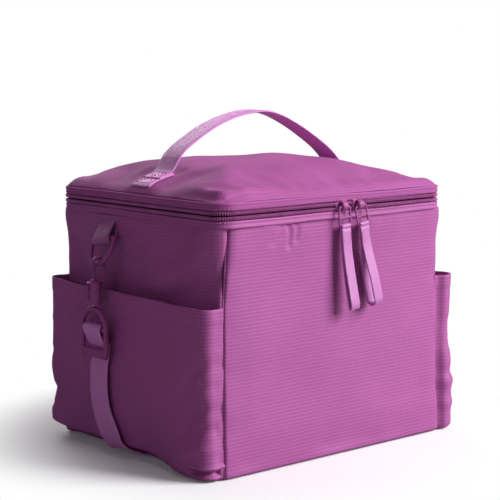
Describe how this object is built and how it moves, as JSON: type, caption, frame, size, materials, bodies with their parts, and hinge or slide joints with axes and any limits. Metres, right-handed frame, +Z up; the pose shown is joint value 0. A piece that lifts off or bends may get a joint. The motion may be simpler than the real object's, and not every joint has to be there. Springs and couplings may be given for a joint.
{
  "type": "insulated zip-top carry bag",
  "caption": "Box-shaped soft-sided carry bag with a zip-around padded lid, a webbing top handle, open end pockets and a clip-on shoulder strap.",
  "frame": {"origin": "middle of the underside of the base", "axes": "+X along the width to the right end, +Y from the front to the back, +Z up"},
  "size_m": [0.3232, 0.2342, 0.2925],
  "materials": {
    "shell_fabric": "plain-dyed ripstop with a fine raised grid, slight sheen",
    "webbing": "ribbed polyester webbing",
    "zip_tape": "fine woven tape",
    "zip_coil": "moulded coil, satin",
    "moulded_plastic": "tonal moulded plastic, satin",
    "painted_zinc": "tonal enamel on die-cast metal",
    "foam": "closed-cell foam",
    "board": "thin stiffener board",
    "liner": "wipe-clean heat-reflecting sheet",
    "steel": "bright drawn steel"
  },
  "bodies": {
    "bag": {"base_panel": "shell_fabric", "base_board": "board", "base_foam": "foam", "front_panel": "shell_fabric", "back_panel": "shell_fabric", "left_panel": "shell_fabric", "right_panel": "shell_fabric", "front_foam": "foam", "back_foam": "foam", "left_foam": "foam", "right_foam": "foam", "liner_tub": "liner", "left_pocket": "shell_fabric", "right_pocket": "shell_fabric", "lower_zip_facing": "shell_fabric", "lower_zip_tape": "zip_tape", "lower_zip_coil": "zip_coil", "hinge_strip": "shell_fabric", "left_ring_tab": "webbing", "right_ring_tab": "webbing", "strap_base_run": "webbing"},
    "lid": {"lid_panel": "shell_fabric", "lid_foam": "foam", "lid_liner": "liner", "upper_zip_facing": "shell_fabric", "upper_zip_tape": "zip_tape", "upper_zip_coil": "zip_coil", "left_handle_patch": "webbing", "right_handle_patch": "webbing"},
    "handle": {"handle_webbing": "webbing"},
    "left_slider": {"left_slider": "painted_zinc"},
    "left_pull_tab": {"left_pull_tab": "painted_zinc"},
    "left_pull_loop": {"left_pull_loop": "webbing"},
    "right_slider": {"right_slider": "painted_zinc"},
    "right_pull_tab": {"right_pull_tab": "painted_zinc"},
    "right_pull_loop": {"right_pull_loop": "webbing"},
    "left_ring": {"left_d_ring": "moulded_plastic"},
    "left_clip": {"left_buckle": "moulded_plastic", "left_swivel_pin": "steel", "left_strap_fold": "webbing"},
    "left_hook": {"left_hook": "moulded_plastic", "left_bolt_spring": "steel"},
    "left_bolt": {"left_hook_bolt": "moulded_plastic"},
    "left_strap": {"left_strap_drop": "webbing"},
    "right_ring": {"right_d_ring": "moulded_plastic"},
    "right_clip": {"right_buckle": "moulded_plastic", "right_swivel_pin": "steel", "right_strap_fold": "webbing"},
    "right_hook": {"right_hook": "moulded_plastic", "right_bolt_spring": "steel"},
    "right_bolt": {"right_hook_bolt": "moulded_plastic"},
    "right_strap": {"right_strap_drop": "webbing"}
  },
  "joints": [
    {"name": "lid_hinge", "type": "hinge", "parent": "bag", "child": "lid", "pos_m": [0, 0.1132, 0.215], "axis": [-1, 0, 0], "range_deg": [0, 110], "deforming": ["hinge_strip"]},
    {"name": "handle_fold", "type": "hinge", "parent": "lid", "child": "handle", "pos_m": [0, 0, 0.2428], "axis": [1, 0, 0], "range_deg": [-50, 50]},
    {"name": "left_slider_run", "type": "slide", "parent": "bag", "child": "left_slider", "axis": [-1, 0, 0], "range_m": [0, 0.088]},
    {"name": "left_tab_flip", "type": "hinge", "parent": "left_slider", "child": "left_pull_tab", "pos_m": [0.001, -0.1172, 0.215], "axis": [-0.9976, 0, -0.0698], "range_deg": [0, 120]},
    {"name": "left_loop_swing", "type": "hinge", "parent": "left_pull_tab", "child": "left_pull_loop", "pos_m": [0.00219, -0.1172, 0.19804], "axis": [-0.9976, 0, -0.0698], "range_deg": [0, 90]},
    {"name": "right_slider_run", "type": "slide", "parent": "bag", "child": "right_slider", "axis": [1, 0, 0], "range_m": [0, 0.07]},
    {"name": "right_tab_flip", "type": "hinge", "parent": "right_slider", "child": "right_pull_tab", "pos_m": [0.02, -0.1172, 0.215], "axis": [-0.9703, 0, -0.2419], "range_deg": [0, 120]},
    {"name": "right_loop_swing", "type": "hinge", "parent": "right_pull_tab", "child": "right_pull_loop", "pos_m": [0.02411, -0.1172, 0.1985], "axis": [-0.9703, 0, -0.2419], "range_deg": [0, 90]},
    {"name": "left_ring_swing", "type": "hinge", "parent": "bag", "child": "left_ring", "pos_m": [-0.14, 0.0335, 0.1845], "axis": [0, 0.9781, -0.2079], "range_deg": [0, 30]},
    {"name": "left_clip_hang", "type": "hinge", "parent": "left_ring", "child": "left_clip", "pos_m": [-0.14955, 0.02924, 0.16447], "axis": [0, 0.9781, -0.2079], "range_deg": [-30, 0]},
    {"name": "left_hook_swivel", "type": "hinge", "parent": "left_clip", "child": "left_hook", "pos_m": [-0.1542, 0.02924, 0.14], "axis": [0, 0, 1], "range_deg": [-14, 14]},
    {"name": "left_bolt_slide", "type": "slide", "parent": "left_hook", "child": "left_bolt", "axis": [0, 0, -1], "range_m": [0, 0.005], "deforming": ["left_bolt_spring"]},
    {"name": "left_strap_follow", "type": "hinge", "parent": "bag", "child": "left_strap", "pos_m": [-0.1468, 0, 0.0024], "axis": [0, 1, 0], "range_deg": [-6, 0]},
    {"name": "right_ring_swing", "type": "hinge", "parent": "bag", "child": "right_ring", "pos_m": [0.14, 0.0335, 0.1845], "axis": [0, -0.9781, 0.2079], "range_deg": [0, 30]},
    {"name": "right_clip_hang", "type": "hinge", "parent": "right_ring", "child": "right_clip", "pos_m": [0.14955, 0.02924, 0.16447], "axis": [0, -0.9781, 0.2079], "range_deg": [-30, 0]},
    {"name": "right_hook_swivel", "type": "hinge", "parent": "right_clip", "child": "right_hook", "pos_m": [0.1542, 0.02924, 0.14], "axis": [0, 0, -1], "range_deg": [-14, 14]},
    {"name": "right_bolt_slide", "type": "slide", "parent": "right_hook", "child": "right_bolt", "axis": [0, 0, -1], "range_m": [0, 0.005], "deforming": ["right_bolt_spring"]},
    {"name": "right_strap_follow", "type": "hinge", "parent": "bag", "child": "right_strap", "pos_m": [0.1468, 0, 0.0024], "axis": [0, -1, 0], "range_deg": [-6, 0]}
  ],
  "couplings": [
    {"joint": "left_clip_hang", "follows": "left_ring_swing", "ratio": -1},
    {"joint": "left_strap_follow", "follows": "left_ring_swing", "ratio": -0.18},
    {"joint": "right_clip_hang", "follows": "right_ring_swing", "ratio": -1},
    {"joint": "right_strap_follow", "follows": "right_ring_swing", "ratio": -0.18}
  ]
}
